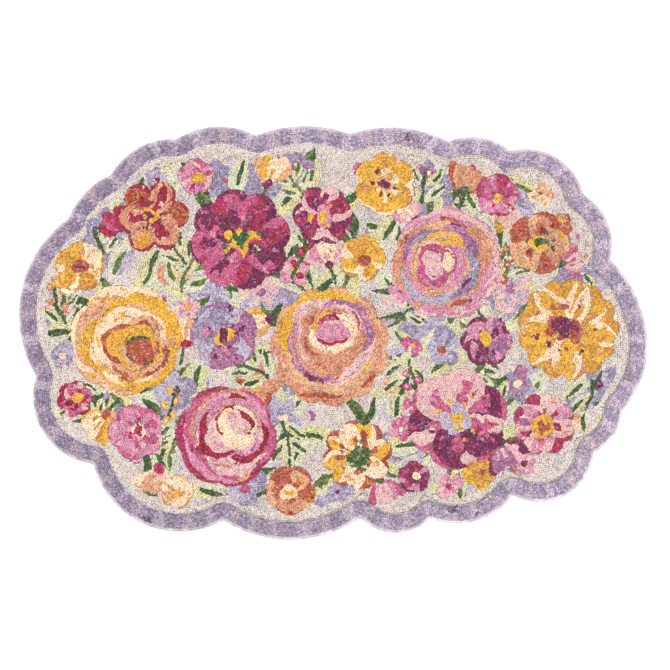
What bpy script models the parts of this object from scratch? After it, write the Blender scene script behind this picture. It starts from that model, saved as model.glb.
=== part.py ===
"""A hooked wool rug: a scalloped oval with a block border, a carved line and a field of raised blooms.

The rug lies flat, with its underside on z = 0 and its centre on the origin. X runs along its length.
The tables give sizes in millimetres, and the mesh is built in metres.
"""

from collections import namedtuple
from math import atan2, ceil, cos, pi, radians, sin, sqrt

import bmesh
import bpy
from mathutils import Vector

MM = 0.001

# Pile heights above the floor
BORDER_TOP = 8.2
FIELD_TOP = 9.2
LINE_FLOOR = 6.6

# Spacing of the points along a scallop, and the rounding of each notch
SCALLOP_STEP = 19.0
NOTCH_RADIUS = 5.0
NOTCH_POINTS = 3

# Points along each petal's rim, and how squarely it rounds out: a lower power gives a fuller petal
PETAL_POINTS = 5
PETAL_POWER = 0.7

# The scallops in clockwise order from the top: each starts at its notch and bulges out to the next
Scallop = namedtuple("Scallop", "notch_x notch_y bulge")
SCALLOPS = [
    Scallop(-111.5, 285.1, 12.7),
    Scallop(24.8, 287.5, 14.6),
    Scallop(167.7, 276.2, 13.0),
    Scallop(256.7, 262.3, 26.2),
    Scallop(362.0, 200.2, 17.2),
    Scallop(400.5, 105.9, 5.5),
    Scallop(445.2, 34.9, 21.5),
    Scallop(418.9, -112.1, 10.0),
    Scallop(376.9, -173.0, 36.2),
    Scallop(260.0, -233.4, 22.2),
    Scallop(140.2, -267.7, 21.7),
    Scallop(40.1, -266.4, 30.4),
    Scallop(-158.6, -270.4, 51.0),
    Scallop(-346.9, -188.4, 36.0),
    Scallop(-429.2, -62.4, 45.5),
    Scallop(-383.1, 165.1, 8.5),
    Scallop(-321.4, 229.0, 15.4),
    Scallop(-225.8, 280.1, 15.6),
]

# Section from the underside's rim, round the turned edge, over the border and across the carved line
Step = namedtuple("Step", "inset height")
EDGE_STEPS = [
    Step(1.5, 0.0),
    Step(0.0, 2.2),
    Step(0.3, 5.0),
    Step(2.2, 7.2),
    Step(6.5, BORDER_TOP),
    Step(22.0, BORDER_TOP),
    Step(24.2, LINE_FLOOR),
    Step(25.4, LINE_FLOOR),
    Step(28.0, FIELD_TOP),
]

# Section of each kind of bloom from its rim to its heart: share of the radius, height above the field,
# and how much of the petals' lobing is left there
Ring = namedtuple("Ring", "share rise lobing")
BLOOM_SECTIONS = {
    "rose": [Ring(1.0, 0.0, 1.0), Ring(0.94, 1.2, 1.0), Ring(0.66, 1.4, 0.5), Ring(0.60, 0.4, 0.4),
             Ring(0.54, 1.5, 0.3), Ring(0.22, 1.7, 0.0)],
    "open": [Ring(1.0, 0.0, 1.0), Ring(0.93, 1.2, 1.0), Ring(0.36, 0.6, 0.2), Ring(0.28, 1.7, 0.0)],
    "small": [Ring(1.0, 0.0, 1.0), Ring(0.88, 1.2, 1.0)],
}

# The raised blooms of the field. The first petal points along turn, in degrees, and depth is the share
# of the radius that the valleys between the petals cut in
Bloom = namedtuple("Bloom", "kind x y radius petals turn depth")
BLOOMS = [
    Bloom("rose", -300.0, -10.0, 82.0, 7, 10.0, 0.08),
    Bloom("open", -135.0, 135.0, 74.0, 8, 12.0, 0.14),
    Bloom("rose", -5.0, -20.0, 88.0, 11, 15.0, 0.10),
    Bloom("rose", 165.0, 100.0, 82.0, 7, 35.0, 0.08),
    Bloom("open", 180.0, -125.0, 74.0, 6, 20.0, 0.14),
    Bloom("open", 340.0, 5.0, 74.0, 13, 0.0, 0.12),
    Bloom("rose", -155.0, -150.0, 74.0, 6, 50.0, 0.08),
    Bloom("open", -262.0, 168.0, 54.0, 6, 5.0, 0.28),
    Bloom("open", -158.0, -5.0, 50.0, 5, 30.0, 0.14),
    Bloom("open", 35.0, -177.0, 51.0, 8, 11.0, 0.18),
    Bloom("open", 305.0, -132.0, 46.0, 8, 25.0, 0.18),
    Bloom("open", 298.0, 130.0, 46.0, 5, 0.0, 0.14),
    Bloom("open", 75.0, 215.0, 46.0, 6, 30.0, 0.14),
    Bloom("open", -285.0, -144.0, 41.0, 5, 40.0, 0.14),
    Bloom("small", -15.0, 170.0, 44.0, 6, 0.0, 0.16),
    Bloom("small", -367.0, 95.0, 37.0, 5, 18.0, 0.14),
    Bloom("small", 222.0, -12.0, 38.0, 6, 0.0, 0.16),
    Bloom("small", -62.0, -228.0, 37.0, 5, 54.0, 0.14),
    Bloom("small", 238.0, 199.0, 32.0, 5, 10.0, 0.14),
    Bloom("small", 42.0, 108.0, 34.0, 5, 70.0, 0.14),
    Bloom("small", -374.0, -96.0, 27.0, 6, 15.0, 0.16),
    Bloom("small", -226.0, -230.0, 25.0, 5, 0.0, 0.16),
    Bloom("small", -198.0, 226.0, 27.0, 5, 30.0, 0.16),
    Bloom("small", 117.0, -209.0, 24.0, 5, 20.0, 0.16),
]

WOOL_COLOUR = (0.60, 0.45, 0.42, 1.0)
WOOL_ROUGHNESS = 0.95
CREASE_DEGREES = 50.0


def scallop_circles():
    """Centre and radius of each scallop's arc. Going clockwise, the outside lies on the left."""
    circles = []
    for scallop, after in zip(SCALLOPS, SCALLOPS[1:] + SCALLOPS[:1]):
        start = Vector((scallop.notch_x, scallop.notch_y))
        end = Vector((after.notch_x, after.notch_y))
        chord = end - start
        radius = (chord.length_squared / 4 + scallop.bulge ** 2) / (2 * scallop.bulge)
        outward = Vector((-chord.y, chord.x)).normalized()
        circles.append(((start + end) / 2 - outward * (radius - scallop.bulge), radius))
    return circles


def meeting_point(centre_a, reach_a, centre_b, reach_b, near):
    """The point at the given distances from two centres, the one of the two that is closer to near."""
    line = centre_b - centre_a
    along = (reach_a ** 2 - reach_b ** 2 + line.length_squared) / (2 * line.length)
    aside = sqrt(reach_a ** 2 - along ** 2)
    axis = line.normalized()
    across = Vector((-axis.y, axis.x))
    foot = centre_a + axis * along
    return min((foot + across * aside, foot - across * aside), key=lambda point: (point - near).length)


def direction(centre, point):
    """Angle of the line from a centre to a point."""
    return atan2(point.y - centre.y, point.x - centre.x)


def arc_points(centre, radius, first, last, count):
    """Points from one angle to another by the shorter way round, without the last one."""
    sweep = (last - first + pi) % (2 * pi) - pi
    angles = (first + sweep * index / count for index in range(count))
    return [centre + radius * Vector((cos(angle), sin(angle))) for angle in angles]


def outline(inset):
    """The rug's outline drawn in by a distance, with each notch rounded off."""
    circles = scallop_circles()
    fillets = []
    for index, scallop in enumerate(SCALLOPS):
        centre_a, radius_a = circles[index - 1]
        centre_b, radius_b = circles[index]
        notch = Vector((scallop.notch_x, scallop.notch_y))
        fillets.append(meeting_point(centre_a, radius_a - inset + NOTCH_RADIUS,
                                     centre_b, radius_b - inset + NOTCH_RADIUS, notch))
    points = []
    for index, (centre, radius) in enumerate(circles):
        fillet = fillets[index]
        following = fillets[(index + 1) % len(fillets)]
        points += arc_points(fillet, NOTCH_RADIUS, direction(fillet, circles[index - 1][0]),
                             direction(fillet, centre), NOTCH_POINTS)
        points += arc_points(centre, radius - inset, direction(centre, fillet),
                             direction(centre, following), point_count(index))
    return points


def point_count(index):
    """How many points a scallop gets, the same on every ring, so that the rings join in quads."""
    start = SCALLOPS[index]
    end = SCALLOPS[(index + 1) % len(SCALLOPS)]
    chord = Vector((end.notch_x - start.notch_x, end.notch_y - start.notch_y)).length
    return ceil(chord / SCALLOP_STEP)


def bloom_outline(bloom, ring):
    """A lobed ring of a bloom: its petals round out between small valleys."""
    points = []
    total = bloom.petals * PETAL_POINTS
    for index in range(total):
        angle = 2 * pi * index / total
        swell = abs(cos(bloom.petals * angle / 2)) ** PETAL_POWER
        reach = bloom.radius * ring.share * (1 - bloom.depth * ring.lobing * (1 - swell))
        turned = angle + radians(bloom.turn)
        points.append(Vector((bloom.x + reach * cos(turned), bloom.y + reach * sin(turned))))
    return points


def add_ring(mesh, points, height, middle):
    """Adds a closed ring of vertices at one height, measured from the middle of the rug."""
    return [mesh.verts.new(((point.x - middle.x) * MM, (point.y - middle.y) * MM, height * MM))
            for point in points]


def join_rings(mesh, outer, inner):
    """Joins two rings of the same count with quads."""
    for index in range(len(outer)):
        following = (index + 1) % len(outer)
        mesh.faces.new((outer[index], outer[following], inner[following], inner[index]))


def ring_edges(mesh, ring):
    """The edges along a joined ring."""
    return [mesh.edges.get((vertex, ring[(index + 1) % len(ring)])) for index, vertex in enumerate(ring)]


def build_edge(mesh, middle):
    """The underside, the turned rim, the border and the carved line. Returns the field's rim."""
    rings = [add_ring(mesh, outline(step.inset), step.height, middle) for step in EDGE_STEPS]
    for outer, inner in zip(rings, rings[1:]):
        join_rings(mesh, outer, inner)
    mesh.faces.new(rings[0])
    return rings[-1]


def build_bloom(mesh, bloom, middle):
    """A raised bloom with its carved rings. Returns its rim, which lies on the field."""
    rings = [add_ring(mesh, bloom_outline(bloom, ring), FIELD_TOP + ring.rise, middle)
             for ring in BLOOM_SECTIONS[bloom.kind]]
    for outer, inner in zip(rings, rings[1:]):
        join_rings(mesh, outer, inner)
    mesh.faces.new(rings[-1])
    return rings[0]


def build_rug(collection):
    """The whole rug as one closed body."""
    rim = outline(0.0)
    across = [point.x for point in rim]
    along = [point.y for point in rim]
    middle = Vector(((min(across) + max(across)) / 2, (min(along) + max(along)) / 2))
    mesh = bmesh.new()
    borders = ring_edges(mesh, build_edge(mesh, middle))
    for bloom in BLOOMS:
        borders += ring_edges(mesh, build_bloom(mesh, bloom, middle))
    bmesh.ops.triangle_fill(mesh, use_beauty=True, edges=borders)
    bmesh.ops.recalc_face_normals(mesh, faces=mesh.faces)
    data = bpy.data.meshes.new("hooked_rug")
    mesh.to_mesh(data)
    mesh.free()
    data.shade_smooth()
    data.set_sharp_from_angle(angle=radians(CREASE_DEGREES))
    data.materials.append(wool_material())
    rug = bpy.data.objects.new("hooked_rug", data)
    collection.objects.link(rug)
    return rug


def wool_material():
    """Looped wool in the mean colour of the face."""
    material = bpy.data.materials.new("wool_pile")
    material.use_nodes = True
    shader = material.node_tree.nodes["Principled BSDF"]
    shader.inputs["Base Color"].default_value = WOOL_COLOUR
    shader.inputs["Roughness"].default_value = WOOL_ROUGHNESS
    shader.inputs["Metallic"].default_value = 0.0
    return material


def main():
    for old in list(bpy.data.objects):
        bpy.data.objects.remove(old, do_unlink=True)
    collection = bpy.data.collections.new("hooked_floral_rug")
    bpy.context.scene.collection.children.link(collection)
    build_rug(collection)


main()
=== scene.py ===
"""Looks of the hooked wool rug: every loop of its pile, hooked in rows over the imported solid.

A chart of the yarns is drawn in millimetres, rows of hooking are traced round each drawn shape, and a
small rounded loop is set at each stitch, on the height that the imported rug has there.
"""

from collections import namedtuple
from math import atan2, ceil, cos, hypot, pi, radians, sin, sqrt

import bmesh
import bpy
import numpy as np
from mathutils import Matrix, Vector
from mathutils.bvhtree import BVHTree


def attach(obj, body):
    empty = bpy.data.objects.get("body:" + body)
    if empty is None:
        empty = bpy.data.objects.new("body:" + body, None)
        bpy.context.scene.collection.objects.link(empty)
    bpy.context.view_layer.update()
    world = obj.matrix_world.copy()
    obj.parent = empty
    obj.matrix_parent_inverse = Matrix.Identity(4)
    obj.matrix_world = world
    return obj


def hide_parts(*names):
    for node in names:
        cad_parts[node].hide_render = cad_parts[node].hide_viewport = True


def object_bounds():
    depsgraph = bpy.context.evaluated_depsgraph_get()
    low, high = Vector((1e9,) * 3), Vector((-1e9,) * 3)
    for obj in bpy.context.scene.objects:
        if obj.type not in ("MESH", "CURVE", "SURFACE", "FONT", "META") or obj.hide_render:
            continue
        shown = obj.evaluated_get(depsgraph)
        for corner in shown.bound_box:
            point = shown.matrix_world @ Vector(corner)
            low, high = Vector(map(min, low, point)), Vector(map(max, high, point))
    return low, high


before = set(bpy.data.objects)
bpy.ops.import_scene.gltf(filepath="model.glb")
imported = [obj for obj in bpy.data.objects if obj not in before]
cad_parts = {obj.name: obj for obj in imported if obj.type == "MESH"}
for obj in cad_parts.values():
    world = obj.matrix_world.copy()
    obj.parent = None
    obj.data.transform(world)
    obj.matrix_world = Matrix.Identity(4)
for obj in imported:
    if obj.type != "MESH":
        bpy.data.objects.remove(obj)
cad_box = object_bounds()

MM = 0.001
RUG = "hooked_rug"
BODY = "root"

# The photograph: its side and the rug's box in it, in pixels
PHOTO_SIDE = 670
PHOTO_LEFT, PHOTO_RIGHT = 18.0, 648.5
PHOTO_TOP, PHOTO_BOTTOM = 126.0, 539.5

# In metres: the camera's height, the level it is framed on, how far the rim's loops stand past the
# solid, and half the floor's side
CAMERA_HEIGHT = 3.0
PILE_LEVEL = 0.008
RIM_OVERHANG = 0.0016
FLOOR_HALF = 12.0

# Hooking, in millimetres: distance between rows, between loops in a row, the least distance of two
# loops, and the shortest row that gets one
ROW_PITCH = 2.75
LOOP_PITCH = 3.0
LEAST_GAP = 2.0
SHORTEST_ROW = 0.6

# A loop: its depth, the half length and half width of its foot and of its shoulder, and how far down
# the shoulder lies as a share of the depth
LOOP_DEPTH = 2.3
LOOP_FOOT = (2.30, 2.10)
LOOP_SHOULDER = (1.45, 1.22)
SHOULDER_DROP = 0.30

# The cloth: how far its face is let down under the loops, and the height from which the solid is face
FACE_DROP = 2.25
FACE_FROM = 4.5

# Carving: how far the rows along a motif's outline lie lower, at the left and at the right
CARVE_LEFT = 0.12
CARVE_RIGHT = 0.75
CARVE_REACH = 2.4

# The line between border and field: how high its loops stand at the left and at the lower
# right, how far in from the rim that holds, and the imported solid's height along it
LINE_TOP_HIGH = 8.85
LINE_TOP_LOW = 7.1
LINE_FROM = 12.0
LINE_FLOOR = 6.6

# The first row of a shape runs this share of a pitch inside its outline, and more where a seam is
# cut: up to the one share at the left and up to the other at the right
FIRST_ROW = 0.40
SEAM_LEFT = 0.10
SEAM_RIGHT = 0.22

# A bare spot farther than this from every loop gets one, in a seam too
BARE_GAP = 2.55

# The turned edge: how wide it is, the share of pale yarn at its outside, and how many loose
# fibres stand off it
EDGE_WIDTH = 4.2
EDGE_PALENESS = 0.52
HAIRS = 7000

# How far inside the rim its loops take their yarn from, and how high everything stays off the floor
YARN_FROM = 6.0
FLOOR_GAP = 0.25

# Painted light: how much paler the border's yarn is painted at the right, and how much deeper at the left
BORDER_PAINTED_LIGHT = 0.12

# Painted shade: how much darker the wool's colour is painted down in the line between border and field, at
# the lower right
LINE_SHADE = 0.42

# Flecks on dark loops and on light ones, in linear light
PALE_FLECK = (0.62, 0.50, 0.50)
DARK_FLECK = (0.20, 0.11, 0.14)

# The chart's cell and half sizes, the border's width, and the margin that motifs keep inside it
CELL = 0.75
HALF_LENGTH = 468.0
HALF_WIDTH = 312.0
BORDER_WIDTH = 25.0
MARGIN_WIDTH = 8.0

# The chart's body starts a little inside the rim, and depth inside it is measured up to a reach
BODY_INSET = 0.3
INSET_REACH = 90.0

# A hand's drawing: how far its lines waver and shake
WAVER = 3.8
SHAKE = 1.6

# The share of a small motif that may lie on the margin, and the room for a bloom, in its radii
TIP_SHARE = 0.12
BLOOM_ROOM = 1.08

# Strokes of dark green: the widest a vein gets, and a stalk
VEIN_WIDTH = 7.4
STALK_WIDTH = 5.0


def table(fields, rows):
    """Rows of values that have names."""
    row_type = namedtuple("Row", fields)
    return [row_type(*row) for row in rows]


# Yarns: their colour in soft daylight, the yarn that each is heathered with, and two for dabs over it
YARNS = table("name colour partner kin", [
    ("ground", (202, 192, 184), "ground_rose", None), ("ground_rose", (192, 164, 160), "ground", None),
    ("ground_grey", (178, 170, 172), "ground", None), ("ring", (200, 188, 181), "ground", None),
    ("blue", (142, 128, 151), "lilac", None), ("lilac", (187, 171, 184), "blue", None),
    ("mauve", (172, 152, 164), "lilac", None), ("pale_edge", (220, 207, 214), "lilac", None),
    ("smoke", (106, 84, 104), "blue", None), ("mustard", (217, 168, 58), "amber", ("amber", "peach")),
    ("amber", (193, 136, 58), "mustard", ("mustard", "coral")),
    ("cream", (233, 207, 178), "peach", ("peach", "mustard")),
    ("peach", (211, 167, 127), "coral", ("coral", "mustard")),
    ("coral", (193, 128, 104), "peach", ("rust", "peach")),
    ("rust", (162, 70, 45), "coral", ("amber", "crimson")),
    ("crimson", (147, 24, 43), "magenta", ("magenta", "blush")),
    ("magenta", (164, 51, 93), "crimson", ("plum", "fuchsia")),
    ("fuchsia", (188, 94, 130), "magenta", ("magenta", "pink")),
    ("pink", (202, 144, 165), "fuchsia", ("orchid", "blush")),
    ("blush", (214, 178, 171), "pink", ("pink", "coral")),
    ("orchid", (150, 92, 134), "pink", ("plum", "pink")),
    ("plum", (97, 32, 71), "magenta", ("orchid", "magenta")),
    ("lavender", (140, 128, 153), "mist", ("orchid", "mist")),
    ("mist", (184, 172, 187), "lavender", ("lavender", "blush")), ("sage", (199, 196, 177), "lime", None),
    ("lime", (200, 192, 138), "sage", None), ("green", (50, 82, 40), "moss", ("moss", "lime")),
    ("moss", (106, 117, 69), "green", None),
])
YARN_CODE = {yarn.name: index for index, yarn in enumerate(YARNS)}
KINDRED = {yarn.name: yarn.kin or ("cream", "blush") for yarn in YARNS}

# Yarns of the smudges on the border and of the dabs in the ground
SMUDGE_YARNS = ["smoke", "mauve", "mauve"]
SPECK_YARNS = ["pink", "mist", "fuchsia", "lime", "lavender", "blush", "peach", "ring", "ring", "orchid"]

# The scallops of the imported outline, clockwise: each starts at its notch and bulges out to the next
SCALLOPS = table("notch_x notch_y bulge", [
    (-111.5, 285.1, 12.7), (24.8, 287.5, 14.6), (167.7, 276.2, 13.0), (256.7, 262.3, 26.2),
    (362.0, 200.2, 17.2), (400.5, 105.9, 5.5), (445.2, 34.9, 21.5), (418.9, -112.1, 10.0),
    (376.9, -173.0, 36.2), (260.0, -233.4, 22.2), (140.2, -267.7, 21.7), (40.1, -266.4, 30.4),
    (-158.6, -270.4, 51.0), (-346.9, -188.4, 36.0), (-429.2, -62.4, 45.5), (-383.1, 165.1, 8.5),
    (-321.4, 229.0, 15.4), (-225.8, 280.1, 15.6),
])
NOTCH_RADIUS = 5.0


# Outline

def scallop_circles():
    """Centre and radius of each scallop's arc. Going clockwise, the outside lies on the left."""
    circles = []
    for start, end in zip(SCALLOPS, SCALLOPS[1:] + SCALLOPS[:1]):
        across = end.notch_x - start.notch_x
        along = end.notch_y - start.notch_y
        chord = hypot(across, along)
        radius = (chord ** 2 / 4 + start.bulge ** 2) / (2 * start.bulge)
        sink = (radius - start.bulge) / chord
        circles.append(((start.notch_x + end.notch_x) / 2 + along * sink,
                        (start.notch_y + end.notch_y) / 2 - across * sink, radius))
    return circles


def fillet_centre(before, after, inset, notch):
    """Where the small circle that rounds a notch sits, outside both of its scallops."""
    reach_a = before[2] - inset + NOTCH_RADIUS
    reach_b = after[2] - inset + NOTCH_RADIUS
    line_x = after[0] - before[0]
    line_y = after[1] - before[1]
    length = hypot(line_x, line_y)
    along = (reach_a ** 2 - reach_b ** 2 + length ** 2) / (2 * length)
    aside = sqrt(reach_a ** 2 - along ** 2)
    line_x /= length
    line_y /= length
    places = [(before[0] + line_x * along - side * line_y * aside,
               before[1] + line_y * along + side * line_x * aside) for side in (1, -1)]
    return min(places, key=lambda place: hypot(place[0] - notch.notch_x, place[1] - notch.notch_y))


def arc(centre_x, centre_y, radius, towards, until, step):
    """Points round a centre from the direction of one point to that of another, the shorter way."""
    first = atan2(towards[1] - centre_y, towards[0] - centre_x)
    last = atan2(until[1] - centre_y, until[0] - centre_x)
    sweep = (last - first + pi) % (2 * pi) - pi
    count = max(2, round(abs(sweep) * radius / step))
    angles = [first + sweep * index / count for index in range(count)]
    return [(centre_x + radius * cos(angle), centre_y + radius * sin(angle)) for angle in angles]


def drawn_outline(inset, step):
    """The rug's outline drawn in by a distance, about the centre that the notches are given from."""
    circles = scallop_circles()
    points = []
    fillets = [fillet_centre(circles[index - 1], circles[index], inset, notch)
               for index, notch in enumerate(SCALLOPS)]
    for index, (x, y, radius) in enumerate(circles):
        fillet = fillets[index]
        following = fillets[(index + 1) % len(fillets)]
        points += arc(*fillet, NOTCH_RADIUS, circles[index - 1], (x, y), step)
        points += arc(x, y, radius - inset, fillet, following, step)
    return np.array(points)


def outline(inset, step=2.0):
    """The rug's outline drawn in by a distance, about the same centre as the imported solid."""
    return drawn_outline(inset, step) - OUTLINE_MIDDLE


def steps_round(points):
    """Length of each step round a closed line."""
    return np.hypot(*(np.roll(points, -1, axis=0) - points).T)


def polygon_area(points):
    """Area of a closed polygon."""
    following = np.roll(points, -1, axis=0)
    return float((points[:, 0] * following[:, 1] - following[:, 0] * points[:, 1]).sum() / 2)


def points_at(spots, length, points):
    """Places on a line at the given lengths along it."""
    return np.c_[np.interp(spots, length, points[:, 0]), np.interp(spots, length, points[:, 1])]


bare_rim = drawn_outline(0.0, 6.0)
OUTLINE_MIDDLE = (bare_rim.min(axis=0) + bare_rim.max(axis=0)) / 2
RIM_LENGTH = float(steps_round(bare_rim).sum())


# Chart

def eased(count, spacing):
    """The grid line before each of count cells, and the softened share of the way to the next."""
    place = np.arange(count) / spacing
    line = place.astype(int)
    share = place - line
    return line, share ** 2 * (3 - 2 * share)


class Chart:
    """Which yarn lies at each spot, and which drawn shape the spot belongs to."""

    def __init__(self):
        columns = int(2 * HALF_LENGTH / CELL)
        rows = int(2 * HALF_WIDTH / CELL)
        x = (np.arange(columns) + 0.5) * CELL - HALF_LENGTH
        y = (np.arange(rows) + 0.5) * CELL - HALF_WIDTH
        self.x, self.y = np.meshgrid(x, y)
        self.hand_x = self.x + WAVER * self.noise(28, 1) + SHAKE * self.noise(11, 2)
        self.hand_y = self.y + WAVER * self.noise(28, 3) + SHAKE * self.noise(11, 4)
        self.mix = self.noise(6, 5)
        self.patch = self.noise(13, 6)
        self.yarn = np.full(self.x.shape, YARN_CODE["ground"], np.uint8)
        self.shape = np.zeros(self.x.shape, np.int32)
        self.shapes = 0
        self.body = fill_polygon(self, outline(BODY_INSET))
        self.inset = edge_distance(~self.body, INSET_REACH)

    def noise(self, spacing, seed):
        """Smooth noise from -1 to 1 with a bump about every spacing millimetres."""
        rows, columns = self.x.shape
        cells = spacing / CELL
        grid = np.random.default_rng(seed).uniform(-1, 1, (int(rows / cells) + 3, int(columns / cells) + 3))
        i, down = eased(rows, cells)
        j, right = eased(columns, cells)
        upper = grid[i][:, j] * (1 - right) + grid[i][:, j + 1] * right
        lower = grid[i + 1][:, j] * (1 - right) + grid[i + 1][:, j + 1] * right
        return upper * (1 - down[:, None]) + lower * down[:, None]

    def window(self, x, y, reach, turn=0.0, steady=False):
        """The part of the chart round a place, with u along the turn and v to its left.

        Coordinates waver as a hand's drawing does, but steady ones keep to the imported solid's.
        """
        rows, columns = (slice(max(0, int((middle - reach + half) / CELL)),
                               max(0, int((middle + reach + half) / CELL) + 1))
                         for middle, half in ((y, HALF_WIDTH), (x, HALF_LENGTH)))
        dx = (self.x if steady else self.hand_x)[rows, columns] - x
        dy = (self.y if steady else self.hand_y)[rows, columns] - y
        c, s = cos(radians(turn)), sin(radians(turn))
        return (rows, columns), dx * c + dy * s, dy * c - dx * s

    def is_clear(self, part, mask):
        """Whether a small motif keeps off the border's margin, but for a tip."""
        over = mask & (self.inset[part] < BORDER_WIDTH + MARGIN_WIDTH)
        return over.sum() < TIP_SHARE * mask.sum()

    def clear_place(self, x, y, reach):
        """The place, moved towards the rug's middle until its reach is off the border's margin."""
        for _ in range(60):
            row, column = cells_of(np.array([[x, y]]))
            if self.inset[row[0], column[0]] > BORDER_WIDTH + MARGIN_WIDTH + reach:
                break
            x *= 0.985
            y *= 0.985
        return x, y

    def lay(self, part, mask, yarn, own=True):
        """Lays a yarn over a mask. With own, the mask is a new shape that rows are hooked round."""
        self.yarn[part][mask] = YARN_CODE[yarn]
        if own:
            self.shapes += 1
            self.shape[part][mask] = self.shapes


def fill_polygon(chart, points):
    """Which spots of the chart lie inside a closed polygon."""
    following = np.roll(points, -1, axis=0)
    inside = np.zeros(chart.x.shape, bool)
    columns = chart.x[0]
    for row, y in enumerate(chart.y[:, 0]):
        crossed = (points[:, 1] > y) != (following[:, 1] > y)
        before = points[crossed]
        after = following[crossed]
        share = (y - before[:, 1]) / (after[:, 1] - before[:, 1])
        crossings = np.sort(before[:, 0] + share * (after[:, 0] - before[:, 0]))
        inside[row] = np.searchsorted(crossings, columns) % 2 == 1
    return inside


def petal(u, v, length, width, fullness=0.62, tip=2.0):
    """A petal along +u, widest at the share fullness: its mask, and each spot's shares along and aside."""
    along = u / length
    root = np.sin(np.clip(along / fullness, 0, 1) * pi / 2) ** 0.8
    fall = np.sqrt(1 - np.clip((along - fullness) / (1 - fullness), 0, 1) ** tip)
    half = width / 2 * np.where(along < fullness, root, fall)
    inside = (along > 0) & (along < 1) & (np.abs(v) < half)
    return inside, along, v / np.maximum(half, 0.01)


def lobed(u, v, radius, lobes, depth, phase=0.0):
    """Mask of a round shape with lobes, the first of them at the phase."""
    swell = np.abs(np.cos(lobes * (np.arctan2(v, u) - radians(phase)) / 2)) ** 0.7
    return np.hypot(u, v) < radius * (1 - depth * (1 - swell))


def silhouette(chart, bloom):
    """The chart's part round a bloom, and the bloom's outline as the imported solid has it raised."""
    part, u, v = chart.window(bloom.x, bloom.y, bloom.radius * BLOOM_ROOM, steady=True)
    return part, lobed(u, v, bloom.radius, bloom.petals, bloom.depth, bloom.turn)


def away(x, y, reach, angle):
    """The place that lies a reach away from another, at an angle in degrees."""
    return x + reach * cos(radians(angle)), y + reach * sin(radians(angle))


def leaf(chart, x, y, turn, length, width, body, second=None, vein=None, bend=0.0):
    """A pointed leaf from its stalk's end, with one half of a second yarn and a stroke of vein."""
    part, u, v = chart.window(x, y, length * 1.1, turn)
    v = v - bend * u * (1 - u / length)
    along = np.clip(u / length, 0, 1)
    inside = np.abs(v) < width / 2 * np.sin(pi * along ** 0.85) ** 0.85
    if not chart.is_clear(part, inside):
        return
    chart.lay(part, inside, body)
    if second:
        chart.lay(part, inside & (v > 0.10 * width * (1 + chart.mix[part])), second)
    if vein:
        stroke = np.sin(pi * np.clip((along - 0.28) / 0.62, 0, 1)) ** 0.4 * (1 + 0.3 * chart.patch[part])
        chart.lay(part, inside & (np.abs(v) < min(VEIN_WIDTH, 0.34 * width) / 2 * stroke), vein)


def stalk(chart, x, y, turn, length, width, yarn):
    """A thin stalk with a slight bow."""
    part, u, v = chart.window(x, y, length * 1.1, turn)
    v = v - 0.2 * u * (1 - u / length)
    inside = (u > 0) & (u < length) & (np.abs(v) < width / 2)
    if chart.is_clear(part, inside):
        chart.lay(part, inside, yarn)


def rose(chart, bloom):
    """A full rose: rings of broad petals that overlap, each with a lip of another yarn, round a heart."""
    draw = np.random.default_rng(int(abs(bloom.x) * 7 + abs(bloom.y) * 3))
    part, whole = silhouette(chart, bloom)
    _, u, v = chart.window(bloom.x, bloom.y, bloom.radius * BLOOM_ROOM)
    rings = len(bloom.colours)
    chart.lay(part, whole, bloom.colours[0][0])
    shift = draw.uniform(-0.05, 0.05, 2) * bloom.radius
    for index, (body, accent) in enumerate(bloom.colours):
        u = u - shift[0]
        v = v - shift[1]
        reach = bloom.radius * (1.06 - index / (rings + 0.3))
        count = 2 if index == rings - 1 else max(3, 6 - index)
        choices = [body, body, accent or body, KINDRED[body][1]]
        for which in draw.permutation(count).tolist():
            angle = radians(bloom.turn + 53 * index + 360 * which / count + draw.uniform(-16, 16))
            size = reach * draw.uniform(0.50, 0.74)
            out = u * cos(angle) + v * sin(angle) - (reach - size) * draw.uniform(0.90, 1.04)
            aside = v * cos(angle) - u * sin(angle)
            span = np.hypot(out, aside / draw.uniform(1.0, 1.4)) / size
            inside = whole & (span < 1 + 0.04 * chart.mix[part])
            yarn = choices[int(draw.integers(4))]
            chart.lay(part, inside, yarn)
            if accent and draw.uniform() < 0.65:
                lip = inside & (span > draw.uniform(0.68, 0.90) + 0.08 * chart.patch[part])
                lip &= out > size * draw.uniform(-0.2, 0.5)
                chart.lay(part, lip, accent if yarn != accent else body)
            if draw.uniform() < 0.45:
                fold = inside & (np.abs(span - draw.uniform(0.50, 0.90)) < 0.06)
                fold &= aside * draw.choice([-1, 1]) > 0
                chart.lay(part, fold & (out > -0.2 * size), KINDRED[body][0])


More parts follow.
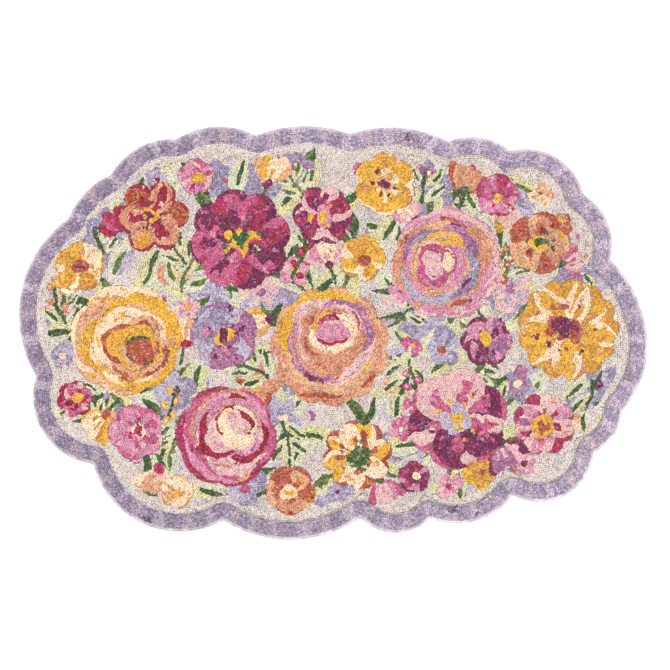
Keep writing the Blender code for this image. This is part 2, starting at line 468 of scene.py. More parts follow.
def open_bloom(chart, bloom):
    """An open flower: uneven petals, each in yarns of its own, round a loose eye with dots about it."""
    body, streak, edge, ring, eye = bloom.colours
    draw = np.random.default_rng(int(abs(bloom.x) * 7 + abs(bloom.y) * 3))
    fullness, tip, spread, heart = PETAL_STYLES[bloom.style]
    width = 2 * pi * bloom.radius * 0.62 / bloom.petals * spread
    part, whole = silhouette(chart, bloom)
    chart.lay(part, whole, streak or body)
    mix = chart.mix[part]
    patch = chart.patch[part]
    choices = [body, body, body, KINDRED[body][0], edge or body]
    for index in draw.permutation(bloom.petals).tolist():
        angle = bloom.turn + 360 * index / bloom.petals + draw.uniform(-9, 9)
        _, u, v = chart.window(bloom.x, bloom.y, bloom.radius * BLOOM_ROOM, angle)
        v = v + draw.uniform(-0.28, 0.28) * u * np.abs(u) / bloom.radius
        inside, along, aside = petal(u, v, bloom.radius * draw.uniform(0.86, 1.10),
                                     width * draw.uniform(0.78, 1.18), fullness, tip)
        inside &= whole
        chart.lay(part, inside, choices[int(draw.integers(5))])
        if edge and draw.uniform() < 0.8:
            lick = inside & (aside * draw.choice([-1, 1]) > 0.30 + 0.35 * patch)
            chart.lay(part, lick & (along > 0.35 + 0.3 * mix), edge)
        if streak and draw.uniform() < 0.85:
            reach = draw.uniform(0.40, 0.80)
            slip = draw.uniform(-0.25, 0.25)
            stroke = inside & (np.abs(aside - slip) < 0.34 + 0.25 * mix)
            chart.lay(part, stroke & (along < reach + 0.15 * patch), streak)
    _, u, v = chart.window(bloom.x, bloom.y, bloom.radius * BLOOM_ROOM)
    u = u - bloom.radius * draw.uniform(-0.08, 0.08)
    v = v - bloom.radius * draw.uniform(-0.08, 0.08)
    reach = np.hypot(u, v) / (bloom.radius * heart)
    if ring:
        chart.lay(part, reach < 1.0 + 0.5 * patch, ring)
    if eye:
        chart.lay(part, reach < 0.58 + 0.4 * mix, eye)
    for _ in range(int(bloom.radius / 9) if bloom.radius > 40 else 0):
        angle = draw.uniform(0, 2 * pi)
        out = bloom.radius * heart * draw.uniform(1.25, 1.75)
        dot = np.hypot(u - out * cos(angle), v - out * sin(angle)) < draw.uniform(2.2, 3.8)
        chart.lay(part, whole & dot, eye or ring, False)


# Each style of open bloom: where a petal is widest, how round its tip is, how much petals overlap,
# and the eye's share of the radius
PETAL_STYLES = {
    "round": (0.68, 2.6, 1.25, 0.26),
    "soft": (0.62, 2.0, 1.12, 0.28),
    "sun": (0.55, 1.6, 1.35, 0.34),
    "star": (0.50, 1.4, 1.10, 0.22),
    "rayed": (0.55, 1.8, 1.20, 0.30),
}

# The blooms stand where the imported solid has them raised. leaves is how many stand round each, and
# leaf_turn where the first of them points
BLOOMS = table("style x y radius petals turn depth leaves leaf_turn colours", [
    ("rose", -300, -10, 82, 7, 10, 0.08, 9, 5,
     [("mustard", "cream"), ("mustard", "peach"), ("cream", "mustard"), ("peach", "rust"),
      ("coral", "mustard"), ("rust", "green")]),
    ("round", -135, 135, 74, 8, 12, 0.14, 9, 30, ("magenta", "plum", "fuchsia", "mustard", "green")),
    ("rose", -5, -20, 88, 11, 15, 0.1, 11, 12,
     [("coral", "peach"), ("peach", "coral"), ("blush", "orchid"), ("coral", "blush"), ("cream", "coral"),
      ("fuchsia", "crimson")]),
    ("rose", 165, 100, 82, 7, 35, 0.08, 10, 0,
     [("blush", "pink"), ("coral", "pink"), ("lavender", "orchid"), ("peach", "pink"),
      ("fuchsia", "cream"), ("crimson", None)]),
    ("round", 180, -125, 74, 6, 20, 0.14, 9, 18, ("plum", "fuchsia", "blush", "mist", "mustard")),
    ("sun", 340, 5, 74, 13, 0, 0.12, 10, 24, ("mustard", "amber", "cream", "rust", "plum")),
    ("rose", -155, -150, 74, 6, 50, 0.08, 9, 0,
     [("fuchsia", "magenta"), ("blush", "fuchsia"), ("pink", "crimson"), ("blush", "pink"),
      ("crimson", "cream"), ("blush", None)]),
    ("star", -262, 168, 54, 6, 5, 0.28, 6, 40, ("rust", "crimson", "coral", "mustard", "plum")),
    ("round", -158, -5, 50, 5, 30, 0.14, 7, 10, ("lavender", "orchid", "mist", "mustard", "plum")),
    ("rayed", 35, -177, 51, 8, 11, 0.18, 7, 8, ("mustard", "rust", "cream", "green", "moss")),
    ("soft", 305, -132, 46, 8, 25, 0.18, 6, 14, ("pink", "magenta", "blush", "mustard", "rust")),
    ("round", 298, 130, 46, 5, 0, 0.14, 6, 40, ("coral", "rust", "peach", "mustard", "green")),
    ("round", 75, 215, 46, 6, 30, 0.14, 6, 14, ("mustard", "cream", "amber", "peach", "plum")),
    ("round", -285, -144, 41, 5, 40, 0.14, 6, 20, ("blush", "fuchsia", "pink", "cream", "magenta")),
    ("soft", -15, 170, 44, 6, 0, 0.16, 6, 30, ("magenta", "plum", "blush", "pink", "mustard")),
    ("round", -367, 95, 37, 5, 18, 0.14, 5, 60, ("mustard", "amber", "cream", "rust", "plum")),
    ("soft", 222, -12, 38, 6, 0, 0.16, 6, 30, ("orchid", "plum", "pink", "mustard", None)),
    ("round", -62, -228, 37, 5, 54, 0.14, 5, 0, ("coral", "rust", "peach", "cream", "mustard")),
    ("round", 238, 199, 32, 5, 10, 0.14, 5, 20, ("fuchsia", "magenta", "pink", "cream", "mustard")),
    ("round", 42, 108, 34, 5, 70, 0.14, 5, 30, ("mustard", "amber", "cream", "rust", None)),
    ("soft", -374, -96, 27, 6, 15, 0.16, 4, 30, ("fuchsia", "crimson", "blush", "mustard", None)),
    ("round", -226, -230, 25, 5, 0, 0.16, 5, 20, ("cream", "peach", None, "mustard", None)),
    ("round", -198, 226, 27, 5, 30, 0.16, 4, 60, ("pink", "fuchsia", "blush", "mustard", None)),
    ("round", 117, -209, 24, 5, 20, 0.16, 4, 40, ("magenta", "plum", "pink", "cream", None)),
])

# Small blossoms that lie level with the ground, in the gaps between the blooms
BLOSSOM_PETALS = 5
BLOSSOMS = table("x y radius turn body second heart", [
    (128, 22, 36, 10, "mist", "lavender", "plum"), (95, 62, 19, 30, "blush", "pink", "magenta"),
    (160, -22, 27, 25, "lavender", "mist", "rust"), (118, -22, 18, 0, "fuchsia", "pink", "mustard"),
    (298, -203, 19, 25, "pink", "blush", "plum"), (-105, 56, 32, 30, "mist", "blush", "orchid"),
    (-112, -78, 32, 0, "rust", "coral", "mustard"), (100, -78, 31, 50, "peach", "cream", "plum"),
    (-56, 92, 26, 20, "pink", "blush", "mustard"), (-55, 238, 28, 0, "lavender", "orchid", "cream"),
    (134, 233, 19, 0, "lavender", "orchid", "cream"), (-328, 148, 28, 20, "lavender", "mist", "cream"),
    (-137, -240, 29, 10, "lavender", "mist", "fuchsia"), (168, -222, 19, 30, "blush", "pink", "magenta"),
    (228, -212, 28, 0, "mustard", "amber", "rust"), (-398, 34, 19, 50, "blush", "pink", "mustard"),
    (-408, -34, 19, 15, "lavender", "mist", "cream"), (-338, -130, 26, 15, "peach", "coral", "cream"),
    (-228, -86, 32, 25, "lavender", "mist", "crimson"), (256, 62, 33, 35, "blush", "mist", "orchid"),
    (266, -74, 29, 5, "lavender", "orchid", "cream"), (100, -136, 18, 5, "fuchsia", "pink", "cream"),
    (-74, -122, 26, 45, "mist", "lavender", "cream"), (-224, 94, 27, 60, "coral", "peach", "plum"),
    (-212, 38, 19, 0, "blush", "pink", "mustard"), (362, -98, 27, 20, "lavender", "mist", "plum"),
    (372, 92, 28, 50, "lavender", "orchid", "fuchsia"), (342, 165, 18, 30, "rust", "coral", "mustard"),
    (300, 200, 18, 0, "cream", "peach", "rust"), (-262, 232, 17, 10, "lavender", "lilac", "crimson"),
    (-312, 205, 17, 30, "rust", "magenta", "cream"), (5, -238, 17, 15, "lavender", "mist", "plum"),
])

# Soft clouds of lavender in the ground
CLOUDS = table("x y radius outer inner", [
    (-345, 128, 56, "lavender", "blue"), (-180, 62, 50, "lavender", "mist"),
    (-385, 20, 36, "lavender", "blue"), (-100, 215, 50, "lavender", "blue"),
    (-60, 60, 38, "mist", "lavender"), (150, 196, 46, "lavender", "blue"),
    (250, 62, 40, "lavender", "mist"), (-222, -80, 38, "lavender", "blue"),
    (-70, -150, 36, "mist", "lavender"), (95, -160, 34, "lavender", "mist"),
    (375, 80, 30, "mist", "lavender"), (-80, -95, 36, "lavender", "mist"),
    (-325, 165, 36, "lavender", "blue"), (240, -195, 34, "mist", "lavender"),
    (-335, -118, 34, "lavender", "mist"), (-170, 225, 32, "lavender", "blue"),
    (130, -10, 42, "mist", "lavender"), (388, -70, 30, "lavender", "mist"),
    (0, -230, 34, "lavender", "mist"), (-150, -240, 34, "lavender", "blue"),
    (270, 190, 30, "mist", "lavender"), (-40, 225, 30, "lavender", "mist"),
])

# Stalks with small leaves in pairs
FROND_PAIRS = 2
FRONDS = table("x y turn length yarn", [
    (-222, 60, 70, 66, "moss"), (112, -42, 255, 66, "green"), (-92, -66, 150, 60, "green"),
    (248, 78, 62, 60, "moss"), (-30, 112, 80, 56, "green"), (-330, -92, 200, 58, "green"),
    (128, 188, 85, 64, "green"), (-78, -128, 285, 66, "green"), (250, -62, 215, 52, "green"),
    (372, -66, 262, 62, "green"), (-215, 100, 120, 50, "green"), (385, 62, 95, 50, "green"),
    (-330, 110, 110, 56, "green"), (-40, 200, 130, 54, "moss"), (-225, -125, 262, 62, "moss"),
    (205, 180, 120, 46, "green"), (-388, 10, 95, 52, "green"), (100, 30, 15, 52, "green"),
])

# Sprigs of round berries on both sides of a stalk
SPRIGS = table("x y turn berries size body light", [
    (-60, 80, 60, 5, 11, "crimson", "fuchsia"), (235, 68, 75, 5, 12, "rust", "peach"),
    (-225, -75, 250, 5, 11, "mustard", "cream"), (112, -50, 275, 6, 11, "fuchsia", "blush"),
    (-330, 170, 150, 4, 11, "magenta", "pink"), (240, -195, 330, 4, 11, "rust", "coral"),
    (385, -60, 300, 5, 11, "plum", "orchid"), (-395, 25, 100, 5, 11, "coral", "peach"),
    (-120, -250, 200, 4, 11, "magenta", "blush"), (175, 195, 60, 5, 10, "crimson", "pink"),
    (-105, 220, 20, 5, 10, "orchid", "blush"), (375, 95, 100, 4, 10, "mustard", "cream"),
])

# Flowers seen from the side, in the gaps along the border
CUPS = table("x y turn length outer inner light foot", [
    (-352, 176, 140, 36, "crimson", "magenta", "fuchsia", "green"),
    (-100, 226, 70, 44, "peach", "cream", "mustard", "plum"),
    (200, 218, 75, 42, "rust", "coral", "peach", "green"),
    (386, 118, 20, 36, "pink", "blush", "fuchsia", "green"),
    (-402, 84, 175, 40, "cream", "peach", "mustard", "plum"),
    (-370, -136, 225, 40, "mustard", "cream", "amber", "rust"),
    (70, -226, 290, 40, "fuchsia", "blush", "pink", "green"),
    (278, -188, 300, 44, "plum", "orchid", "blush", "green"),
    (350, -144, 325, 42, "peach", "coral", "cream", "magenta"),
    (-90, 22, 200, 36, "mustard", "cream", "peach", "plum"),
    (-252, -196, 250, 44, "cream", "peach", "blush", "magenta"),
    (404, 12, 350, 36, "blush", "pink", "cream", "green"),
    (-5, 96, 110, 40, "blush", "cream", "pink", "plum"),
    (238, 150, 60, 38, "cream", "blush", "peach", "amber"),
    (-215, -20, 75, 38, "coral", "peach", "cream", "crimson"),
    (118, 160, 120, 36, "pink", "blush", "cream", "plum"),
])

# The leaves round a bloom, in turn: their three yarns, their width, and how far out they stand
LEAF_KINDS = table("body second vein width beyond", [
    ("sage", "lime", "green", 31, 50), ("green", None, None, 13, 40), ("lime", "sage", "green", 29, 48),
    ("sage", None, "green", 26, 46), ("green", "moss", None, 18, 42), ("sage", "mist", "moss", 30, 50),
    ("lime", "moss", None, 26, 46),
])


def draw_cloud(chart, cloud):
    """A cloud of one lavender with a spot of another in it."""
    part, u, v = chart.window(cloud.x, cloud.y, cloud.radius * 1.3)
    reach = np.hypot(u, v * 1.2) / cloud.radius
    chart.lay(part, reach < 0.85 + 0.35 * chart.patch[part], cloud.outer)
    chart.lay(part, reach < 0.42 + 0.4 * chart.mix[part], cloud.inner, False)


def draw_wreath(chart, bloom, draw):
    """Leaves that stand out from under a bloom."""
    count = round(bloom.leaves * 0.72)
    for index in range(count):
        kind = LEAF_KINDS[(index + abs(bloom.x)) % len(LEAF_KINDS)]
        angle = bloom.leaf_turn + 360 * index / count + draw.uniform(-12, 12)
        leaf(chart, *away(bloom.x, bloom.y, bloom.radius * 0.72, angle), angle + draw.uniform(-28, 28),
             bloom.radius * 0.28 + kind.beyond * draw.uniform(0.9, 1.3),
             kind.width * draw.uniform(0.85, 1.15), kind.body, kind.second, kind.vein,
             draw.uniform(-0.4, 0.4))


def draw_blossom(chart, blossom, draw):
    """A small flat blossom with a leaf or two behind it."""
    radius = blossom.radius
    x, y = chart.clear_place(blossom.x, blossom.y, radius * 0.8)
    for side in (-1, 1):
        turn = blossom.turn + side * draw.uniform(40, 80) + 90
        kind = LEAF_KINDS[int(draw.integers(len(LEAF_KINDS)))]
        leaf(chart, x, y, turn, radius + draw.uniform(16, 28), kind.width * 0.7, kind.body, kind.second,
             bend=draw.uniform(-0.3, 0.3))
    width = 2 * pi * radius * 0.6 / BLOSSOM_PETALS * 1.15
    for index in draw.permutation(BLOSSOM_PETALS).tolist():
        angle = blossom.turn + 360 * index / BLOSSOM_PETALS + draw.uniform(-14, 14)
        part, u, v = chart.window(x, y, radius * 1.3, angle)
        length = radius * draw.uniform(0.76, 1.2)
        inside, along, aside = petal(u, v, length, width * draw.uniform(0.75, 1.15), 0.66, 2.2)
        chart.lay(part, inside, blossom.second if draw.uniform() < 0.25 else blossom.body)
        streak = inside & (np.abs(aside - draw.uniform(-0.3, 0.3)) < 0.40)
        chart.lay(part, streak & (along < 0.7 + 0.3 * chart.mix[part]), blossom.second, False)
    part, u, v = chart.window(x, y, radius)
    chart.lay(part, np.hypot(u, v) < radius * (0.22 + 0.1 * chart.mix[part]), blossom.heart)


def draw_frond(chart, frond):
    """A dark stalk with long pale leaves in pairs, each with a dark stroke, and one at its end."""
    size = frond.length * 0.70
    places = [(frond.length * (0.06 + 0.66 * pair / FROND_PAIRS), side * (48 - 6 * pair),
               size * (1 - 0.10 * pair)) for pair in range(FROND_PAIRS) for side in (-1, 1)]
    places.append((frond.length * 0.62, 0, size))
    for index, (along, spread, length) in enumerate(places):
        body, second = (("sage", None), ("lime", "sage"), ("sage", "lime"))[index % 3]
        leaf(chart, *away(frond.x, frond.y, along, frond.turn), frond.turn + spread, length, size * 0.38,
             body, second, frond.yarn, 0.2 if spread > 0 else -0.2)
    stalk(chart, frond.x, frond.y, frond.turn, frond.length * 0.8, STALK_WIDTH, frond.yarn)


def draw_sprig(chart, sprig):
    """Berries on a stalk, the last of them at its end."""
    c, s = cos(radians(sprig.turn)), sin(radians(sprig.turn))
    length = sprig.berries * sprig.size * 0.95
    stalk(chart, sprig.x, sprig.y, sprig.turn, length, STALK_WIDTH, "green")
    for index in range(sprig.berries):
        along = (index + 1) * length / sprig.berries
        aside = 0 if index == sprig.berries - 1 else sprig.size * (0.75 if index % 2 else -0.75)
        x = sprig.x + along * c - aside * s
        y = sprig.y + along * s + aside * c
        part, u, v = chart.window(x, y, sprig.size)
        berry = np.hypot(u, v) < sprig.size / 2
        if chart.is_clear(part, berry):
            chart.lay(part, berry, sprig.body)
            chart.lay(part, np.hypot(u + 1, v - 1) < sprig.size * 0.2, sprig.light, False)


def draw_cup(chart, cup, draw):
    """A flower from the side: a fan of petals on a foot, with a stalk below."""
    tip_x, tip_y = away(cup.x, cup.y, cup.length, cup.turn)
    clear_x, clear_y = chart.clear_place(tip_x, tip_y, 4.0)
    x = cup.x + clear_x - tip_x
    y = cup.y + clear_y - tip_y
    stalk(chart, x, y, cup.turn + 180, cup.length * 0.7, STALK_WIDTH, "green")
    fan = ((-40, cup.outer), (40, cup.outer), (-20, cup.inner), (22, cup.light), (2, cup.inner))
    for spread, yarn in fan:
        part, u, v = chart.window(x, y, cup.length * 1.2, cup.turn + spread + draw.uniform(-6, 6))
        length = cup.length * draw.uniform(0.88, 1.12)
        inside, along, aside = petal(u, v, length, cup.length * 0.44, 0.62, 1.8)
        chart.lay(part, inside, yarn)
        chart.lay(part, inside & (np.abs(aside) < 0.3) & (along < 0.6), cup.light, False)
    part, u, v = chart.window(x, y, cup.length, cup.turn)
    chart.lay(part, np.hypot(u - 2, v) < cup.length * 0.17, cup.foot)


def draw_ring(chart):
    """A ring of the palest ground yarn along the border's inside, of uneven width."""
    ring = chart.body & (chart.inset < BORDER_WIDTH + 11 + 5 * chart.noise(45, 14) + chart.mix)
    whole = (slice(None), slice(None))
    chart.lay(whole, ring & (chart.noise(60, 15) > -0.5), "ring")


def draw_dabs(chart, bloom, draw):
    """Brush-like dabs of kindred yarns over a bloom, along a rose's rings or a flower's petals."""
    part, whole = silhouette(chart, bloom)
    around = bloom.style == "rose"
    for _ in range(int(bloom.radius * 0.30)):
        angle = draw.uniform(0, 360)
        x, y = away(bloom.x, bloom.y, bloom.radius * sqrt(draw.uniform(0.12, 0.85)), angle)
        row, column = cells_of(np.array([[x, y]]))
        under = YARNS[chart.yarn[row[0], column[0]]].name
        yarn = KINDRED[under][int(draw.integers(2))]
        turn = angle + (90 if around else 0) + draw.uniform(-20, 20)
        length = max(7.0, bloom.radius * draw.uniform(0.12, 0.34 if around else 0.24))
        width = draw.uniform(3.0, 6.5)
        c, s = cos(radians(turn)), sin(radians(turn))
        dx = chart.hand_x[part] - x
        dy = chart.hand_y[part] - y
        u = (dx * c + dy * s) / (length / 2)
        v = (dy * c - dx * s) / (width / 2) + (0.5 * u ** 2 if around else 0)
        chart.lay(part, whole & (u ** 2 + v ** 2 < 1 + 0.4 * chart.mix[part]), yarn, False)


def draw_specks(chart, draw):
    """Small dabs scattered over the ground."""
    for _ in range(150):
        x = draw.uniform(-420, 420)
        y = draw.uniform(-260, 260)
        yarn = SPECK_YARNS[int(draw.integers(len(SPECK_YARNS)))]
        part, u, v = chart.window(x, y, 14, draw.uniform(0, 180))
        reach = np.hypot(u / draw.uniform(4.5, 11), v / draw.uniform(3.5, 5))
        chart.lay(part, reach < 1 + 0.4 * chart.mix[part], yarn, False)


def draw_blocks(chart, border):
    """Blocks of two lavenders along the border, of uneven lengths and soft at their ends."""
    draw = np.random.default_rng(8)
    midline = outline(BORDER_WIDTH / 2, 3.0)
    starts = np.concatenate([[0.0], np.cumsum(steps_round(midline))])
    spots = np.c_[chart.x[border], chart.y[border]]
    nearest = np.concatenate([np.argmin(((chunk[:, None] - midline[None]) ** 2).sum(axis=2), axis=1)
                              for chunk in np.array_split(spots, 60)])
    ends = [0.0]
    while ends[-1] < starts[-1]:
        blue = len(ends) % 2 == 1
        ends.append(ends[-1] + (draw.uniform(16, 28) if blue else draw.uniform(9, 17)))
    along = starts[nearest] + 2.2 * chart.mix[border] + draw.uniform(-4, 4, len(spots))
    block = np.searchsorted(ends, along, side="right")
    pale = np.where(block % 4 == 2, YARN_CODE["mauve"], YARN_CODE["lilac"])
    chart.yarn[border] = np.where(block % 2 == 1, YARN_CODE["blue"], pale)
    for spot in draw.choice(len(midline), 16, replace=False):
        x, y = midline[spot] + draw.uniform(-7, 7, 2)
        part, u, v = chart.window(x, y, 14, draw.uniform(0, 180))
        loose = np.hypot(u, 1.3 * v) / draw.uniform(7, 11) + 0.9 * draw.uniform(0, 1, u.shape)
        yarn = SMUDGE_YARNS[int(draw.integers(len(SMUDGE_YARNS)))]
        chart.lay(part, border[part] & (loose < 1), yarn, False)


def draw_rug(chart):
    """The whole design."""
    draw = np.random.default_rng(21)
    for cloud in CLOUDS:
        draw_cloud(chart, cloud)
    draw_specks(chart, draw)
    for bloom in BLOOMS:
        draw_wreath(chart, bloom, draw)
    draw_ring(chart)
    for blossom in BLOSSOMS:
        draw_blossom(chart, blossom, draw)
    for frond in FRONDS:
        draw_frond(chart, frond)
    for sprig in SPRIGS:
        draw_sprig(chart, sprig)
    for cup in CUPS:
        draw_cup(chart, cup, draw)
    for bloom in BLOOMS:
        (rose if bloom.style == "rose" else open_bloom)(chart, bloom)
        draw_dabs(chart, bloom, draw)
    border = chart.body & (chart.inset < BORDER_WIDTH - 0.4 + 0.9 * chart.patch)
    chart.shape[border] = chart.shapes + 1
    chart.shape[~chart.body] = chart.shapes + 2
    draw_blocks(chart, border)


# Rows of hooking

def edge_distance(edges, reach):
    """Distance in millimetres from each spot to the nearest marked one, up to a reach."""
    far = np.float32(4 * reach / CELL)
    down = np.where(edges, np.float32(0), far).astype(np.float32)
    for sweep in (down, down[::-1]):
        for index in range(1, len(sweep)):
            np.minimum(sweep[index], sweep[index - 1] + 1, out=sweep[index])
    down **= 2
    best = down.copy()
    for shift in range(1, int(reach / CELL) + 1):
        square = np.float32(shift * shift)
        np.minimum(best[:, shift:], down[:, :-shift] + square, out=best[:, shift:])
        np.minimum(best[:, :-shift], down[:, shift:] + square, out=best[:, :-shift])
    return np.sqrt(best) * CELL


def rightness(x):
    """How much a place belongs to the rug's right part, from 0 to 1."""
    return np.clip(0.4 + x / 500, 0, 1)


def line_depth(x, y):
    """How deep the line between border and field is, from 0 at the upper left to 1 at the lower right."""
    return np.clip(0.5 + (x * 0.8 - y * 0.6) / 300, 0, 1)


def line_height(x, y):
    """How high the loops of the line between border and field stand."""
    return LINE_TOP_HIGH + (LINE_TOP_LOW - LINE_TOP_HIGH) * line_depth(x, y)


def row_distance(chart):
    """Distance of each spot from the outline of its shape, a little smoothed."""
    shape = chart.shape
    edges = np.zeros(shape.shape, bool)
    across = shape[:, 1:] != shape[:, :-1]
    along = shape[1:] != shape[:-1]
    edges[:, 1:] |= across
    edges[:, :-1] |= across
    edges[1:] |= along
    edges[:-1] |= along
    distance = edge_distance(edges, 60.0) + CELL / 2
    for _ in range(2):
        padded = np.pad(distance, 1, mode="edge")
        distance = (padded[1:-1, :-2] + padded[1:-1, 2:] + padded[:-2, 1:-1] + padded[2:, 1:-1]
                    + 2 * padded[1:-1, 1:-1]) / 6
    return distance + 0.8 * chart.patch * np.clip(distance / 5 - 0.3, 0, 1)


def first_row(chart):
    """How far inside its outline a shape's first row runs, in pitches: more along the seams."""
    cut = np.clip(0.3 + 1.2 * chart.noise(26, 40), 0, 1)
    return FIRST_ROW + cut * (SEAM_LEFT + (SEAM_RIGHT - SEAM_LEFT) * rightness(chart.x))


def trace_rows(distance, chart):
    """Follows each row of hooking, the first a little inside its shape's outline."""
    body = chart.body
    level = distance / ROW_PITCH - first_row(chart)
    band = np.floor(level).astype(np.int32)
    rows, columns = level.shape
    ids = np.arange(rows * columns).reshape(rows, columns)
    flat_cross = (band[:, 1:] != band[:, :-1]) & body[:, 1:] & body[:, :-1]
    tall_cross = (band[1:] != band[:-1]) & body[1:] & body[:-1]
    sides = np.stack([flat_cross[:-1], flat_cross[1:], tall_cross[:, :-1], tall_cross[:, 1:]], axis=-1)
    names = np.stack([ids[:-1, :-1], ids[1:, :-1], ids[:-1, :-1] + ids.size, ids[:-1, 1:] + ids.size],
                     axis=-1)
    count = sides.sum(axis=-1)
    pairs = names[count == 2][sides[count == 2]].reshape(-1, 2)
    crossed = names[count == 4]
    links = np.concatenate([pairs, crossed[:, [0, 2]], crossed[:, [1, 3]]])
    edges, index = np.unique(links, return_inverse=True)
    index = index.reshape(-1, 2)
    neighbours = np.full((len(edges), 2), -1)
    both = np.concatenate([index, index[:, ::-1]])
    both = both[np.argsort(both[:, 0], kind="stable")]
    first = np.concatenate([[True], both[1:, 0] != both[:-1, 0]])
    neighbours[both[first, 0], 0] = both[first, 1]
    neighbours[both[~first, 0], 1] = both[~first, 1]
    tall = edges >= ids.size
    i, j = divmod(edges % ids.size, columns)
    here = level[i, j]
    there = np.where(tall, level[np.minimum(i + 1, rows - 1), j], level[i, np.minimum(j + 1, columns - 1)])
    mark = np.maximum(np.floor(here), np.floor(there))
    share = np.clip((mark - here) / np.where(there == here, 1, there - here), 0, 1)
    x = (j + 0.5 + np.where(tall, 0, share)) * CELL - HALF_LENGTH
    y = (i + 0.5 + np.where(tall, share, 0)) * CELL - HALF_WIDTH
    return walk_chains(neighbours.tolist(), np.c_[x, y])


def walk_chains(neighbours, places):
    """Joins linked places into rows: the open ones first, then the closed ones."""
    seen = bytearray(len(neighbours))
    open_ends = [index for index, pair in enumerate(neighbours) if pair[1] < 0]
    chains = []
    for start in [*open_ends, *range(len(neighbours))]:
        if seen[start]:
            continue
        chain = []
        here = start
        while here >= 0:
            seen[here] = 1
            chain.append(here)
            here = next((other for other in neighbours[here] if other >= 0 and not seen[other]), -1)
        points = places[chain]
        closed = len(chain) > 4 and hypot(*(points[0] - points[-1])) < 2 * CELL
        chains.append((np.vstack([points, points[:1]]) if closed else points, closed))
    return chains


def set_stitches(chains, draw):
    """Places along the rows, a loop's pitch apart, with the row's direction at each."""
    places = []
    for points, closed in chains:
        if len(points) < 2:
            continue
        length = np.concatenate([[0.0], np.cumsum(np.hypot(*np.diff(points, axis=0).T))])
        total = length[-1]
        if total < SHORTEST_ROW:
            continue
        count = max(1, round(total / LOOP_PITCH))
        offset = draw.uniform(0, 1) if closed else 0.5
        wander = draw.uniform(-0.14, 0.14, count)
        along = (np.arange(count) + offset + wander) * total / count % total
        x, y = points_at(along, length, points).T
        ahead = points_at(np.clip(along + 1.2, 0, total), length, points)
        run = ahead - points_at(np.clip(along - 1.2, 0, total), length, points)
        turn = np.arctan2(run[:, 1], run[:, 0])
        aside = draw.normal(0, 0.25, count)
        places.append(np.c_[x - aside * np.sin(turn), y + aside * np.cos(turn), turn])
    return np.concatenate(places)


class Spacing:
    """Keeps places that are no closer together than a least gap."""

    def __init__(self, gap):
        self.gap = gap
        self.cells = {}

    def take(self, x, y):
        """Whether the place is free. If so, it is kept."""
        i = int(x // self.gap)
        j = int(y // self.gap)
        for di in (-1, 0, 1):
            for dj in (-1, 0, 1):
                for other_x, other_y in self.cells.get((i + di, j + dj), ()):
                    if (x - other_x) ** 2 + (y - other_y) ** 2 < self.gap ** 2:
                        return False
        self.cells.setdefault((i, j), []).append((x, y))
        return True


def cells_of(places):
    """The chart's rows and columns in which places lie."""
    rows = ((places[:, 1] + HALF_WIDTH) / CELL).astype(int)
    return rows, ((places[:, 0] + HALF_LENGTH) / CELL).astype(int)


def fill_gaps(kept, spacing, distance, slope_x, slope_y, chart):
    """Adds loops where rows from two sides leave room between them, but not along a narrow seam."""
    body = chart.body
    marks = np.zeros(body.shape, bool)
    marks[cells_of(kept)] = True
    empty = edge_distance(marks, 6.0)
    seam = ROW_PITCH * (first_row(chart) - 0.25)
    i, j = np.nonzero(body & (empty > LEAST_GAP) & ((distance > seam) | (empty > BARE_GAP)))
    order = np.argsort(-empty[i, j], kind="stable")
    added = []
    for row, column in zip(i[order].tolist(), j[order].tolist()):
        x = (column + 0.5) * CELL - HALF_LENGTH
        y = (row + 0.5) * CELL - HALF_WIDTH
        if spacing.take(x, y):
            added.append((x, y, atan2(slope_x[row, column], -slope_y[row, column])))
    return np.vstack([kept, np.array(added).reshape(-1, 3)])


def hook_rows(chart):
    """Every stitch of the face as x, y, the row's direction, and how far it is from its shape's outline."""
    distance = row_distance(chart)
    slope_y, slope_x = np.gradient(distance, CELL)
    stitches = set_stitches(trace_rows(distance, chart), np.random.default_rng(4))
    spacing = Spacing(LEAST_GAP)
    kept = np.array([row for row in stitches.tolist() if spacing.take(row[0], row[1])])
    stitches = fill_gaps(kept, spacing, distance, slope_x, slope_y, chart)
    return np.c_[stitches, distance[cells_of(stitches)]]


# Loops

# A shape that is set many times: its points, their places in a flat layout, and its faces
Template = namedtuple("Template", "points flat faces")


def ring_of(sides, start=0.0):
    """Points of a unit ring, the first of them the start's share of a side on."""
    angles = 2 * pi * (np.arange(sides) + start) / sides
    return np.c_[np.cos(angles), np.sin(angles)]


def loop_template():
    """A rounded loop, longer along its row: its foot ring, its shoulder ring and its top."""
    sides = 5
    ring = ring_of(sides, 0.5)
    foot = np.c_[ring * LOOP_FOOT, np.full(sides, -1.0)]
    shoulder = np.c_[ring * LOOP_SHOULDER, np.full(sides, -SHOULDER_DROP)]
    quads = [(k, (k + 1) % sides, sides + (k + 1) % sides, sides + k) for k in range(sides)]
    tops = [(sides + k, sides + (k + 1) % sides, 2 * sides) for k in range(sides)]
    flat = np.vstack([ring, ring * 0.65, [[0, 0]]])
    return Template(np.vstack([foot, shoulder, [[0, 0, 0]]]), flat, quads + tops)


def hair_template():
    """A thin fibre: three points round its root and its tip."""
    ring = ring_of(3)
    points = np.vstack([np.c_[ring, np.zeros(3)], [[0, 0, 1]]])
    return Template(points, np.vstack([ring, [[0, 0]]]), [(0, 1, 3), (1, 2, 3), (2, 0, 3), (0, 2, 1)])


def srgb_to_linear(values):
    """Screen colours from 0 to 255 as linear light."""
    share = np.asarray(values, float) / 255
    return np.where(share <= 0.04045, share / 12.92, ((share + 0.055) / 1.055) ** 2.4)


def blend(first, second, share):
    """Colours between two, by a share for each row or one for all."""
    return first * (1 - share) + second * share


